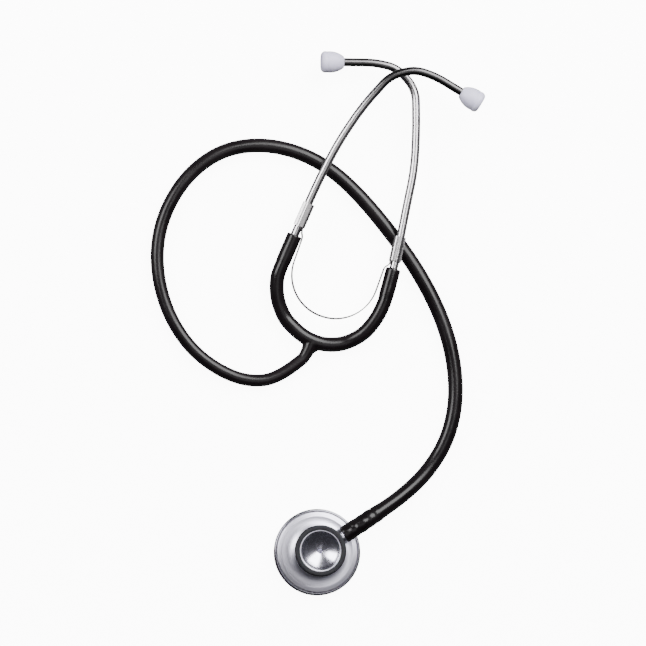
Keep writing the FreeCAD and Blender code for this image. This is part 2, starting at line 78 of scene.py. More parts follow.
# frames: the stem's axis through the chest piece, and the headset with its two sides
STEM_TURN = math.radians(33.0)
STEM_HEIGHT = 12.8
HEADSET = (Matrix.Translation(Vector((-3.1, 117.15, 0)))
           @ Matrix.Rotation(math.radians(-18.6), 4, "Z"))
MOUTH = Matrix.Translation(Vector((0, 50, 12)))
SIDE = {
    "left": HEADSET @ MOUTH @ Matrix.Rotation(math.radians(6), 4, "X"),
    "right": HEADSET @ MOUTH,
}
BODY = {"left": "binaural_left", "right": "binaural_right"}

# outlines of the headset, in its own frame (the yoke and spring) or in a side's (ear tubes)
YOKE_ROUTE = [(-29.1, 25, 9.1), (-25.6, 15, 6.6), (-18.4, 6.4, 4.4), (-12, 2.7, 4.4),
              (-4.2, -0.5, 4.4), (4.6, -1.3, 4.4), (12.4, 0.5, 4.4), (19.2, 4.2, 4.4),
              (26.3, 11.5, 7.2), (30, 21.5, 10.6)]
YOKE_CUTS = {"left": (-10, 2.6, 4.4), "right": (10, 0.6, 4.4)}
# y in a side's frame where an arm still runs straight, in line with its ear tube's end
ARM_STRAIGHT_AT = (0.3, -8, -16, -19.2)
BOW_SWELL = 0.15
MOUTH_SWELL = 0.17
EAR_TUBE_ROUTE = {
    "left": [(-28.67, -15), (-26.8, 9), (-25, 31), (-21.4, 56), (-15, 79.5), (-6.2, 100),
             (5.5, 107.6), (18, 107.6), (40.6, 102.7)],
    "right": [(30.82, -15), (29.4, 8.5), (26.2, 32), (23.4, 56), (17.4, 77.5), (10, 98.5),
              (-3.5, 106.2), (-16, 105), (-39.1, 97.3)],
}
EAR_TUBE_BORE_RADIUS = 1.6
# metres along each ear tube where painted shade darkens its colour towards the ear, and the
# share of colour that is left
EAR_TUBE_PAINTED_SHADE = {"left": (0.082, 0.122, 0.14), "right": (0.1, 0.145, 0.2)}
CLIP_FROM = {"left": 5.6, "right": 4.4}
CLIP_LONG = 13.6
LEAF_ROUTE = [(-22.95, 50.4, 12.1), (-23.35, 12.9, 10.1), (24.25, 12.9, 10.1),
              (24.9, 49.8, 11.9)]
LEAF_BOW_RADIUS = 23.6
LEAF_MIDDLE = (0.45, 12.9, 10.1)
LEAF_FROM_TUBE = 2.66
LEAF_HELD = 17


# ---- lines ----


class Path:
    """A line in space, measured along its length, with a frame that keeps one side up."""

    def __init__(self, points, up=(0, 0, 1)):
        self.points = [Vector(p) for p in points]
        self.up = Vector(up)
        self.reach = [0.0]
        for a, b in zip(self.points, self.points[1:]):
            self.reach.append(self.reach[-1] + (b - a).length)
        last = len(self.points) - 1
        self.tangents = [
            (self.points[min(i + 1, last)] - self.points[max(i - 1, 0)]).normalized()
            for i in range(last + 1)
        ]

    @property
    def length(self):
        return self.reach[-1]

    def at(self, distance):
        """The point there, and the directions along the line, to its side and to its top."""
        i = bisect.bisect_right(self.reach, distance) - 1
        i = min(max(i, 0), len(self.points) - 2)
        share = (distance - self.reach[i]) / (self.reach[i + 1] - self.reach[i])
        middle = self.points[i].lerp(self.points[i + 1], share)
        blend = min(max(share, 0), 1)
        along = self.tangents[i].lerp(self.tangents[i + 1], blend).normalized()
        side = along.cross(self.up).normalized()
        return middle, along, side, side.cross(along)

    def nearest(self, point):
        """The distance along the line of the place nearest to a point."""
        count = 2000
        steps = [self.length * i / count for i in range(count + 1)]
        return min(steps, key=lambda s: (self.at(s)[0] - Vector(point)).length)


def spline_points(points):
    """Points read from a quadratic NURBS spline through given control points."""
    data = bpy.data.curves.new("line", "CURVE")
    data.dimensions = "3D"
    data.resolution_u = 24
    spline = data.splines.new("NURBS")
    spline.points.add(len(points) - 1)
    for control, place in zip(spline.points, points):
        control.co = (*place, 1)
    spline.order_u = 3
    spline.use_endpoint_u = True
    holder = bpy.data.objects.new("line", data)
    mesh = bpy.data.meshes.new_from_object(holder)
    found = [v.co.copy() for v in mesh.vertices]
    bpy.data.objects.remove(holder)
    bpy.data.curves.remove(data)
    bpy.data.meshes.remove(mesh)
    return found


def bent_points(points, radii=None, step=math.radians(1.5)):
    """Straight runs joined by round bends, as a bender makes them. Where no radius is given,
    a bend takes up a share of the shorter run."""
    share = 0.45
    points = [Vector(p) for p in points]
    found = [points[0]]
    for i in range(1, len(points) - 1):
        back = points[i - 1] - points[i]
        ahead = points[i + 1] - points[i]
        half = (math.pi - back.angle(ahead)) / 2
        reach = share * min(back.length, ahead.length)
        if radii and radii[i - 1]:
            reach = radii[i - 1] * math.tan(half)
        radius = reach / math.tan(half)
        back.normalize()
        ahead.normalize()
        start = points[i] + back * reach
        centre = points[i] + (back + ahead).normalized() * (radius / math.cos(half))
        arm = start - centre
        axis = back.cross(ahead)
        count = max(2, math.ceil(2 * half / step))
        for k in range(count + 1):
            turn = Matrix.Rotation(-2 * half * k / count, 3, axis)
            found.append(centre + turn @ arm)
    found.append(points[-1])
    return found


def arc(start, end, radius, side, count):
    """Points of an arc in a profile, its ends left out. side is 1 where it turns left."""
    a, b = Vector(start), Vector(end)
    chord = b - a
    reach = math.sqrt(radius ** 2 - (chord.length / 2) ** 2)
    centre = (a + b) / 2 + Vector((-chord.y, chord.x)).normalized() * reach * side
    first, last = (math.atan2(p.y - centre.y, p.x - centre.x) for p in (a, b))
    swing = (last - first) % (2 * math.pi)
    if side < 0:
        swing -= 2 * math.pi
    found = []
    for k in range(1, count):
        turn = first + swing * k / count
        found.append((centre.x + radius * math.cos(turn), centre.y + radius * math.sin(turn)))
    return found


def softened(corners, size):
    """The same closed outline with each sharp corner eased by a small round."""
    least_turn = math.radians(14)
    corners = [Vector(c) for c in corners]
    found = []
    for i, corner in enumerate(corners):
        back = corners[i - 1] - corner
        ahead = corners[(i + 1) % len(corners)] - corner
        if math.pi - back.angle(ahead) < least_turn:
            found.append(corner)
            continue
        reach = min(size, 0.42 * back.length, 0.42 * ahead.length)
        start = corner + back.normalized() * reach
        end = corner + ahead.normalized() * reach
        for share in (0, 0.25, 0.5, 0.75, 1):
            found.append(start.lerp(corner, share).lerp(corner.lerp(end, share), share))
    return [tuple(p) for p in found]


def stations(start, end, step):
    """Distances from start up to, and without, end."""
    count = max(1, math.ceil(abs(end - start) / step))
    return [start + (end - start) * k / count for k in range(count)]


# ---- meshes ----


def add_piece(name, points, faces, uvs, materials):
    """A smooth-shaded object from points in millimetres."""
    mesh = bpy.data.meshes.new(name)
    mesh.from_pydata([Vector(p) * MM for p in points], [], faces)
    layer = mesh.uv_layers.new(name="UVMap")
    for polygon, corners in zip(mesh.polygons, uvs):
        for loop, uv in zip(polygon.loop_indices, corners):
            layer.data[loop].uv = uv
    work = bmesh.new()
    work.from_mesh(mesh)
    bmesh.ops.remove_doubles(work, verts=work.verts, dist=1e-7)
    bmesh.ops.dissolve_degenerate(work, edges=work.edges, dist=1e-8)
    bmesh.ops.recalc_face_normals(work, faces=work.faces)
    work.to_mesh(mesh)
    work.free()
    mesh.shade_smooth()
    mesh.set_sharp_from_angle(angle=SHARP_EDGE)
    piece = bpy.data.objects.new(name, mesh)
    bpy.context.scene.collection.objects.link(piece)
    for material in materials:
        mesh.materials.append(material)
    return piece


def wrapped(name, path, profile, sides, materials, closed=True, shape=None):
    """Rings round a path. The profile holds (distance along it, radius), and shape gives
    what a place on the surface stands proud by, from its distance and angle."""
    points, faces, uvs = [], [], []
    for distance, radius in profile:
        middle, _, side, top = path.at(distance)
        for k in range(sides):
            angle = 2 * math.pi * k / sides
            proud = shape(distance, angle, radius) if shape else 0.0
            out = side * math.cos(angle) + top * math.sin(angle)
            points.append(middle + out * (radius + proud))
    rings = len(profile)
    for i in range(rings if closed else rings - 1):
        j = (i + 1) % rings
        for k in range(sides):
            after = (k + 1) % sides
            faces.append((i * sides + k, j * sides + k, j * sides + after, i * sides + after))
            low, high = profile[i][0] * MM, profile[j][0] * MM
            left, right = k / sides, (k + 1) / sides
            uvs.append(((left, low), (left, high), (right, high), (right, low)))
    return add_piece(name, points, faces, uvs, materials)


def turned(name, profile, axis, materials, sides=192, shape=None):
    """A piece turned about an axis, from a closed outline of (radius, height)."""
    return wrapped(name, axis, [(z, r) for r, z in profile], sides, materials, shape=shape)


def drawn(name, path, outline, distances, materials):
    """A closed outline of (side, top) carried along a path, with flat ends."""
    points, faces, uvs = [], [], []
    count = len(outline)
    for distance in distances:
        middle, _, side, top = path.at(distance)
        points += [middle + side * u + top * v for u, v in outline]
    for i in range(len(distances) - 1):
        low, high = distances[i] * MM, distances[i + 1] * MM
        for k in range(count):
            after = (k + 1) % count
            faces.append((i * count + k, (i + 1) * count + k, (i + 1) * count + after,
                          i * count + after))
            left, right = k / count, (k + 1) / count
            uvs.append(((left, low), (left, high), (right, high), (right, low)))
    last = (len(distances) - 1) * count
    for ring in (list(range(count))[::-1], [last + k for k in range(count)]):
        faces.append(ring)
        uvs.append([(0, 0)] * count)
    return add_piece(name, points, faces, uvs, materials)


def apply_modifiers(piece):
    """Bakes a piece's modifiers into its mesh."""
    graph = bpy.context.evaluated_depsgraph_get()
    mesh = bpy.data.meshes.new_from_object(piece.evaluated_get(graph))
    piece.modifiers.clear()
    old = piece.data
    piece.data = mesh
    bpy.data.meshes.remove(old)


def mount_piece(piece, body, slot, *nodes):
    """Says which body a piece moves with and hides the nodes that it stands in for; slot, its
    finish, is not used.
    """
    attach(piece, body)
    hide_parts(*nodes)


def paint_where(piece, index, test):
    """Gives one of its materials to the faces whose centre passes a test, in millimetres."""
    for polygon in piece.data.polygons:
        if test(polygon.center / MM):
            polygon.material_index = index


# ---- materials ----


class Finish:
    """A material's nodes: a principled shader with a procedural surface."""

    def __init__(self, name, colour, metallic=0.0, roughness=0.4, specular=0.5):
        self.material = bpy.data.materials.new(name)
        self.material.use_nodes = True
        self.tree = self.material.node_tree
        self.shader = self.tree.nodes["Principled BSDF"]
        self.colour = (*colour, 1)
        self.set("Base Color", self.colour)
        self.set("Metallic", metallic)
        self.set("Roughness", roughness)
        self.set("Specular IOR Level", specular)

    def set(self, socket, value):
        self.shader.inputs[socket].default_value = value

    def node(self, kind, **settings):
        made = self.tree.nodes.new(kind)
        for key, value in settings.items():
            setattr(made, key, value)
        return made

    def link(self, source, target):
        self.tree.links.new(source, target)

    def place(self, stretch=(1, 1, 1), uv=False):
        """Where on the piece, stretched."""
        coordinates = self.node("ShaderNodeTexCoord")
        mapping = self.node("ShaderNodeMapping")
        mapping.inputs["Scale"].default_value = stretch
        self.link(coordinates.outputs["UV" if uv else "Object"], mapping.inputs["Vector"])
        return mapping.outputs["Vector"]

    def rings(self, scale):
        """Distance from the vertical axis and height, as turned marks need."""
        coordinates = self.node("ShaderNodeTexCoord")
        flat = self.node("ShaderNodeVectorMath", operation="MULTIPLY")
        flat.inputs[1].default_value = (1, 1, 0)
        self.link(coordinates.outputs["Object"], flat.inputs[0])
        radius = self.node("ShaderNodeVectorMath", operation="LENGTH")
        self.link(flat.outputs["Vector"], radius.inputs[0])
        split = self.node("ShaderNodeSeparateXYZ")
        self.link(coordinates.outputs["Object"], split.inputs["Vector"])
        joined = self.node("ShaderNodeCombineXYZ")
        self.link(radius.outputs["Value"], joined.inputs["X"])
        self.link(split.outputs["Z"], joined.inputs["Y"])
        mapping = self.node("ShaderNodeMapping")
        mapping.inputs["Scale"].default_value = (scale, scale, 1)
        self.link(joined.outputs["Vector"], mapping.inputs["Vector"])
        return mapping.outputs["Vector"]

    def grain(self, vector, detail=3.0):
        """Noise. Its scale is in the vector."""
        made = self.node("ShaderNodeTexNoise")
        made.inputs["Scale"].default_value = 1.0
        made.inputs["Detail"].default_value = detail
        self.link(vector, made.inputs["Vector"])
        return made.outputs["Fac"]

    def spread(self, source, low, high):
        """A grain brought to a range of values."""
        made = self.node("ShaderNodeMapRange")
        made.inputs["From Min"].default_value = 0.3
        made.inputs["From Max"].default_value = 0.7
        made.inputs["To Min"].default_value = low
        made.inputs["To Max"].default_value = high
        self.link(source, made.inputs["Value"])
        return made.outputs["Result"]

    def rough(self, source, low, high):
        """The roughness varies between two values."""
        self.link(self.spread(source, low, high), self.shader.inputs["Roughness"])
        return self

    def tint(self, source, other):
        """The colour drifts towards another one."""
        made = self.node("ShaderNodeMix", data_type="RGBA")
        made.inputs["A"].default_value = self.colour
        made.inputs["B"].default_value = (*other, 1)
        self.link(self.spread(source, 0, 1), made.inputs["Factor"])
        self.link(made.outputs["Result"], self.shader.inputs["Base Color"])

    def bumps(self, source, height, strength):
        """Relief, with its height in metres."""
        made = self.node("ShaderNodeBump")
        made.inputs["Strength"].default_value = strength
        made.inputs["Distance"].default_value = height
        self.link(source, made.inputs["Height"])
        self.link(made.outputs["Normal"], self.shader.inputs["Normal"])
        return self


def cached(build):
    """Each material is made once."""
    made = {}

    def ask(colours):
        if build.__name__ not in made:
            made[build.__name__] = build(colours).material
        return made[build.__name__]
    return ask


@cached
def black_tubing(colours):
    """Glossy moulded PVC with faint flow marks along it."""
    finish = Finish("black_tubing", colours.tubing, roughness=0.26, specular=0.32)
    fine = finish.grain(finish.place((900, 900, 900)), detail=4)
    broad = finish.grain(finish.place((60, 60, 60)), detail=2)
    finish.rough(broad, 0.22, 0.32)
    finish.tint(broad, [c * 1.8 + 0.001 for c in colours.tubing])
    return finish.bumps(fine, 0.000008, 0.25)


@cached
def satin_chrome(colours):
    """Plated dish with the fine rings that turning and polishing leave."""
    finish = Finish("satin_chrome", colours.plating, metallic=1.0, roughness=0.3)
    rings = finish.grain(finish.rings(5000), detail=5)
    broad = finish.grain(finish.rings(700), detail=2)
    finish.rough(rings, 0.3, 0.44)
    finish.tint(broad, [c * 0.88 for c in colours.plating])
    return finish.bumps(rings, 0.000012, 0.5)


@cached
def polished_chrome(colours):
    """Mirror-like plating inside the bell and on the lip."""
    finish = Finish("polished_chrome", colours.plating, metallic=1.0, roughness=0.1)
    rings = finish.grain(finish.rings(3000))
    finish.rough(rings, 0.18, 0.26)
    return finish.bumps(rings, 0.000004, 0.3)


@cached
def ring_metal(colours):
    """Clamp ring, plated over a coarser turned finish."""
    finish = Finish("ring_metal", [c * 0.35 for c in colours.plating], metallic=1.0,
                    roughness=0.25)
    rings = finish.grain(finish.rings(4000), detail=4)
    finish.rough(rings, 0.18, 0.32)
    return finish.bumps(rings, 0.00001, 0.4)


def ear_tube_metal(colours, side):
    """Plated tube, polished lengthwise, with painted shade darkening it towards the ear."""
    finish = Finish("ear_tube_metal_" + side, colours.ear_tubes, metallic=1.0,
                    roughness=0.25)
    lines = finish.grain(finish.place((90, 60, 1), uv=True))
    finish.rough(lines, 0.2, 0.32)
    # painted shade: the colour fades to a darker share of itself along the tube, towards the
    # ear
    start, end, shaded_share = EAR_TUBE_PAINTED_SHADE[side]
    split = finish.node("ShaderNodeSeparateXYZ")
    finish.link(finish.place(uv=True), split.inputs["Vector"])
    along = finish.node("ShaderNodeMapRange", interpolation_type="SMOOTHSTEP")
    along.inputs["From Min"].default_value = start
    along.inputs["From Max"].default_value = end
    finish.link(split.outputs["Y"], along.inputs["Value"])
    painted_shade_mix = finish.node("ShaderNodeMix", data_type="RGBA")
    painted_shade_mix.inputs["A"].default_value = finish.colour
    painted_shade_mix.inputs["B"].default_value = (*[c * shaded_share for c in colours.ear_tubes], 1)
    finish.link(along.outputs["Result"], painted_shade_mix.inputs["Factor"])
    finish.link(painted_shade_mix.outputs["Result"], finish.shader.inputs["Base Color"])
    return finish.bumps(lines, 0.000008, 0.3).material


@cached
def clip_metal(colours):
    """Pressed plated sheet."""
    finish = Finish("clip_metal", [c * 0.85 for c in colours.ear_tubes], metallic=1.0,
                    roughness=0.28)
    grain = finish.grain(finish.place((1500, 1500, 1500)))
    finish.rough(grain, 0.24, 0.38)
    return finish.bumps(grain, 0.00001, 0.3)


@cached
def spring_steel(colours):
    """Rolled strip with marks along its length."""
    finish = Finish("spring_steel", [c * 0.22 for c in colours.ear_tubes], metallic=1.0,
                    roughness=0.3)
    lines = finish.grain(finish.place((60, 30, 1), uv=True))
    finish.rough(lines, 0.24, 0.4)
    return finish.bumps(lines, 0.000006, 0.3)


@cached
def rim_rubber(colours):
    """Dark soft ring on the bell."""
    finish = Finish("rim_rubber", colours.rim, roughness=0.5, specular=0.28)
    grain = finish.grain(finish.place((2500, 2500, 2500)), detail=4)
    finish.rough(grain, 0.42, 0.58)
    finish.tint(grain, [c * 1.5 for c in colours.rim])
    return finish.bumps(grain, 0.000015, 0.4)


@cached
def soft_tip(colours):
    """Milky soft plastic of the ear tips."""
    finish = Finish("soft_tip", colours.ear_tips, roughness=0.42, specular=0.4)
    finish.set("Subsurface Weight", 0.25)
    finish.set("Subsurface Radius", (0.9, 0.85, 1.0))
    finish.set("Subsurface Scale", 0.0015)
    grain = finish.grain(finish.place((350, 350, 350)))
    finish.rough(grain, 0.36, 0.48)
    finish.tint(grain, [c * 0.96 for c in colours.ear_tips])
    return finish.bumps(grain, 0.00002, 0.25)


@cached
def film_plastic(colours):
    """Stiff woven film of the diaphragm."""
    finish = Finish("film_plastic", (0.74, 0.75, 0.74), roughness=0.38)
    weave = finish.grain(finish.place((2200, 2200, 2200)), detail=2)
    finish.rough(weave, 0.32, 0.44)
    finish.tint(weave, (0.68, 0.69, 0.68))
    return finish.bumps(weave, 0.00001, 0.3)


@cached
def seal_rubber(colours):
    """Matt black seals."""
    finish = Finish("seal_rubber", (0.02, 0.02, 0.02), roughness=0.6)
    grain = finish.grain(finish.place((2000, 2000, 2000)))
    return finish.rough(grain, 0.55, 0.7)


@cached
def bush_brass(colours):
    """Turned brass of the bushes inside the ear tips."""
    finish = Finish("bush_brass", (0.72, 0.56, 0.28), metallic=1.0, roughness=0.3)
    grain = finish.grain(finish.place((1500, 1500, 1500)))
    return finish.rough(grain, 0.25, 0.4)


@cached
def ground_steel(colours):
    """Ball, coil spring and plug of the detent."""
    finish = Finish("ground_steel", (0.55, 0.55, 0.57), metallic=1.0, roughness=0.3)
    grain = finish.grain(finish.place((2500, 2500, 2500)))
    return finish.rough(grain, 0.22, 0.4)


# ---- settings that a user would change ----


class StethoscopeSizes(bpy.types.PropertyGroup):
    """Sizes of what shows, in metres."""

    tube_radius: FloatProperty(
        name="Long tube", description="Outer radius of the long tube half way along it",
        default=0.0039, min=0.003, max=0.0045, unit="LENGTH")
    tube_thin_radius: FloatProperty(
        name="Long tube at the Y", description="Outer radius where the tube leaves the Y",
        default=0.0034, min=0.003, max=0.0042, unit="LENGTH")
    tube_stretched_radius: FloatProperty(
        name="Long tube over the stem", description="Outer radius where the stem fills it",
        default=0.0047, min=0.004, max=0.005, unit="LENGTH")
    yoke_radius: FloatProperty(
        name="Yoke", description="Outer radius of the yoke's arms", default=0.00395,
        min=0.0035, max=0.0045, unit="LENGTH")
    ear_tube_radius: FloatProperty(
        name="Ear tubes", description="Outer radius of the metal ear tubes",
        default=0.0023, min=0.002, max=0.0024, unit="LENGTH")


class StethoscopeColours(bpy.types.PropertyGroup):
    """Colours of what shows."""

    tubing: FloatVectorProperty(
        name="Tubing", description="Colour of the moulded tubing", subtype="COLOR",
        default=(0.0045, 0.0033, 0.004), min=0, max=1)
    plating: FloatVectorProperty(
        name="Chest piece", description="Colour of the chest piece's plating",
        subtype="COLOR", default=(0.78, 0.765, 0.88), min=0, max=1)
    ear_tubes: FloatVectorProperty(
        name="Ear tubes", description="Colour of the ear tubes' plating", subtype="COLOR",
        default=(0.62, 0.6, 0.615), min=0, max=1)
    rim: FloatVectorProperty(
        name="Bell ring", description="Colour of the bell's soft ring", subtype="COLOR",
        default=(0.009, 0.009, 0.012), min=0, max=1)
    ear_tips: FloatVectorProperty(
        name="Ear tips", description="Colour of the soft ear tips", subtype="COLOR",
        default=(0.78, 0.76, 0.97), min=0, max=1)


def sizes():
    """The sizes in millimetres."""
    group = bpy.context.scene.stethoscope_sizes
    names = StethoscopeSizes.__annotations__
    return type("Sizes", (), {name: getattr(group, name) / MM for name in names})


def colours():
    """The colours that the panel holds."""
    return bpy.context.scene.stethoscope_colours


# ---- places ----


def upright():
    """The chest piece's axis."""
    return Path([(0, 0, 0), (0, 0, 1)], up=(1, 0, 0))


def stem_axis():
    """The stem's axis, outwards from the chest piece's centre."""
    along = Vector((math.cos(STEM_TURN), math.sin(STEM_TURN), 0))
    start = Vector((0, 0, STEM_HEIGHT))
    return Path([start, start + along])


def ear_tube_path(side):
    """Centre line of one ear tube, from its end in the arm to its end in the ear tip."""
    flat = bent_points([(x, y, 0) for x, y in EAR_TUBE_ROUTE[side]])
    return Path([SIDE[side] @ p for p in flat], up=SIDE[side].to_3x3() @ Vector((0, 0, 1)))


def clip_path(side):
    """Axis of one spring clip, along its ear tube."""
    inverse = SIDE[side].inverted()
    line = ear_tube_path(side)
    steps = [line.length * i / 1500 for i in range(1500)]
    ends = []
    for wanted in (CLIP_FROM[side], CLIP_FROM[side] + CLIP_LONG):
        at = min(steps, key=lambda s: abs((inverse @ line.at(s)[0]).y - wanted))
        ends.append(line.at(at)[0])
    return Path(ends, up=line.up)


def yoke_line():
    """Centre line of the whole yoke, from the left arm's mouth to the right arm's."""
    ends = {}
    for side in ("left", "right"):
        first, second = (Vector((x, y, 0)) for x, y in EAR_TUBE_ROUTE[side][:2])
        along = second - first
        to_headset = HEADSET.inverted() @ SIDE[side]
        ends[side] = [to_headset @ (first + along * ((y - first.y) / along.y))
                      for y in ARM_STRAIGHT_AT]
    route = ends["left"] + [Vector(p) for p in YOKE_ROUTE] + ends["right"][::-1]
    return Path(spline_points([HEADSET @ p for p in route]))


# ---- pieces ----


def make_long_tube(size):
    """The long tube, a free cord that thickens towards the stem and is stretched over it."""
    points = spline_points(CORD_ROUTE)
    line = Path(points)
    total = line.length
    over_stem = total - STEM_IN_TUBE

    def radius(s):
        ease = smooth(s / (total * 0.42))
        wide = size.tube_thin_radius + (size.tube_radius - size.tube_thin_radius) * ease
        wide += 0.25 * smooth((s - total * 0.45) / (total * 0.2))
        return wide + (size.tube_stretched_radius - wide) * smooth((s - over_stem + 14) / 16)

    def dimples(s, angle, r):
        """Soft unevenness where the barbs stretch the wall."""
        near = smooth((s - over_stem + 10) / 8)
        if near == 0 or r < 3:
            return 0.0
        place = Vector((math.cos(angle) * 1.3, math.sin(angle) * 1.3, s * 0.42))
        barbs = 0.07 * math.cos((s - over_stem) * 2 * math.pi / BARB_PITCH)
        return near * (0.2 * noise.noise(place) + barbs)

    distances = stations(0, over_stem - 10, 1.4) + stations(over_stem - 10, total - 0.5, 0.4)
    profile = [(0.0, 0.0)] + [(s, radius(s)) for s in distances]
    end = radius(total)
    profile += [(total - 0.5, end), (total - 0.15, end - 0.13), (total, end - 0.45),
                (total, 2.75), (total - 0.3, 2.45), (total - 12, 2.4), (total - 12, 0.0)]
    tube = wrapped("long_tube", line, profile, 44, [black_tubing(colours())], closed=False,
                   shape=dimples)
    mount_piece(tube, "root", "tubing", "main_tube")


def smooth(share):
    """Rises from 0 to 1 with level ends."""
    share = min(max(share, 0.0), 1.0)
    return share * share * (3 - 2 * share)


def make_arm(side, line, size):
    """One soft arm of the yoke, with its straight mouth swollen by the ear tube."""
    cut = line.nearest(HEADSET @ Vector(YOKE_CUTS[side]))
    mouth = 0.0 if side == "left" else line.length
    way = 1 if side == "left" else -1
    long = abs(cut - mouth)

    def radius(u):
        """From the distance to the mouth: wider over the ear tube and next to the bow."""
        filled = 1 - smooth((u - 13.5) / 5.0)
        yoke = smooth((u - long + 16) / 16)
        return size.yoke_radius + MOUTH_SWELL * filled + BOW_SWELL * yoke

    def lumps(s, angle, r):
        """A pinch where the ear tube ends inside, and soft unevenness."""
        if r < 3.3:
            return 0.0
        u = abs(s - mouth)
        pinch = -0.08 * math.exp(-((u - 17) / 1.8) ** 2)
        place = Vector((math.cos(angle), math.sin(angle), u * 0.16))
        return pinch + 0.05 * noise.noise(place)

    profile = [(long, 0.0)]
    profile += [(u, radius(u)) for u in stations(long, 0.9, 0.6)]
    end = radius(0)
    profile += [(0.9, end), (0.35, end - 0.1), (0.08, end - 0.4), (0.0, end - 0.8),
                (0.0, 2.6), (0.25, 2.32), (1.0, 2.25), (12, 2.25), (12, 0.0)]
    profile = [(mouth + way * u, r) for u, r in profile]
    arm = wrapped("arm_" + side + "_soft", line, profile, 44, [black_tubing(colours())],
                  closed=False, shape=lumps)
    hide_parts("arm_" + side)
    start = line.at(mouth + way * (long - 1.5))[0]
    end = line.at(mouth + way * 16.5)[0]
    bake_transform(arm)


def make_yoke_middle(line, size):
    """The moulded Y: the bow and the tail run into one another with a webbed crotch."""
    cuts = [line.nearest(HEADSET @ Vector(YOKE_CUTS[s])) for s in ("left", "right")]
    bow_radius = size.yoke_radius + BOW_SWELL
    material = [black_tubing(colours())]
    # both run on past their cuts, which are made after they are one skin
    over = 5.0
    steps = stations(cuts[0] - over, cuts[1] + over, 0.5)
    bow = wrapped("yoke_middle", line,
                  [(steps[0], 0.0)] + [(s, bow_radius) for s in steps] + [(steps[-1], 0.0)],
                  48, material, closed=False)
    tail_end, tail_next = Vector(CORD_ROUTE[0]), Vector(CORD_ROUTE[1])
    outward = (tail_next - tail_end).normalized()
    root = HEADSET @ Vector((0.6, -0.4, 4.35))
    tail_line = Path(spline_points([root, tail_end - outward * 5.5, tail_end,
                                    tail_end + outward * over]))
    near = tail_line.nearest(tail_end)
    thin = size.tube_thin_radius

    def tail_radius(s):
        return thin + 0.75 * (1 - smooth((s - 2.0) / 8.5))

    steps = stations(0, tail_line.length, 0.4)
    tail = wrapped("yoke_tail", tail_line,
                   [(0, 0.0)] + [(s, tail_radius(s)) for s in steps] + [(steps[-1], 0.0)],
                   48, material, closed=False)
    web = crotch_web(material)
    join(bow, [tail, web])
    remesh = bow.modifiers.new("one_skin", "REMESH")
    remesh.mode = "VOXEL"
    remesh.voxel_size = 0.3 * MM
    ease = bow.modifiers.new("ease", "SMOOTH")
    ease.factor = 0.5
    ease.iterations = 22
    apply_modifiers(bow)
    for place, direction in (
            (line.at(cuts[0])[0], -line.at(cuts[0])[1]),
            (line.at(cuts[1])[0], line.at(cuts[1])[1]),
            (tail_line.at(near)[0], tail_line.at(near)[1])):
        slice_off(bow, place * MM, direction)
    bow.data.shade_smooth()
    bow.data.set_sharp_from_angle(angle=math.radians(50))
    mount_piece(bow, "root", "tubing", "y_junction")


def crotch_web(material):
    """A flattened ball that fills the two inner corners between the tail and the bow."""
    wide, half_high = 5.0, 3.4
    centre = HEADSET @ Vector((0.9, -3.0, 4.3))
    axis = Path([centre, centre + Vector((0, 0, 1))], up=(1, 0, 0))
    profile = [(math.sin(t) * half_high, math.cos(t) * wide)
               for t in (math.pi * k / 24 - math.pi / 2 for k in range(25))]
    return wrapped("yoke_web", axis, profile, 48, material, closed=False)


def join(piece, others):
    """Moves the others' geometry into a piece's mesh."""
    work = bmesh.new()
    work.from_mesh(piece.data)
    for other in others:
        work.from_mesh(other.data)
        bpy.data.objects.remove(other)
    work.to_mesh(piece.data)
    work.free()


def slice_off(piece, place, direction):
    """Takes away what lies beyond a plane near a place, and closes the cut."""
    work = bmesh.new()
    work.from_mesh(piece.data)
    reach = 9 * MM
    hair = 1e-7
    near = [v for v in work.verts if (v.co - place).length < reach]
    chosen = set(near)
    faces = [f for f in work.faces if all(v in chosen for v in f.verts)]
    edges = {e for f in faces for e in f.edges}
    found = bmesh.ops.bisect_plane(
        work, geom=near + faces + list(edges), plane_co=place, plane_no=direction,
        dist=hair)
    edge_set = {g for g in found["geom_cut"] if isinstance(g, bmesh.types.BMEdge)}
    beyond = [v for v in work.verts
              if (v.co - place).dot(direction) > hair and (v.co - place).length < reach]
    bmesh.ops.delete(work, geom=beyond, context="VERTS")
    open_edges = [e for e in edge_set if e.is_valid and e.is_boundary]
    bmesh.ops.holes_fill(work, edges=open_edges, sides=0)
    work.to_mesh(piece.data)
    work.free()


def make_ear_tube(side, size):
    """A bent plated tube with rolled ends."""
    line = ear_tube_path(side)
    outer = size.ear_tube_radius
    bore = EAR_TUBE_BORE_RADIUS
    end = line.length
    profile = [(0.25, outer)]
    profile += [(s, outer) for s in stations(0.9, end - 0.3, 0.8)]
    profile += [(end - 0.3, outer), (end, outer - 0.25), (end, bore + 0.15), (end - 0.2, bore)]
    profile += [(s, bore) for s in stations(end - 1, 1, 2.0)]
    profile += [(0.2, bore), (0.0, bore + 0.15), (0.0, outer - 0.2)]
    tube = wrapped("ear_tube_" + side + "_plated", line, profile, 40,
                   [ear_tube_metal(colours(), side)])
    mount_piece(tube, BODY[side], "ear_tube_metal", "ear_tube_" + side)


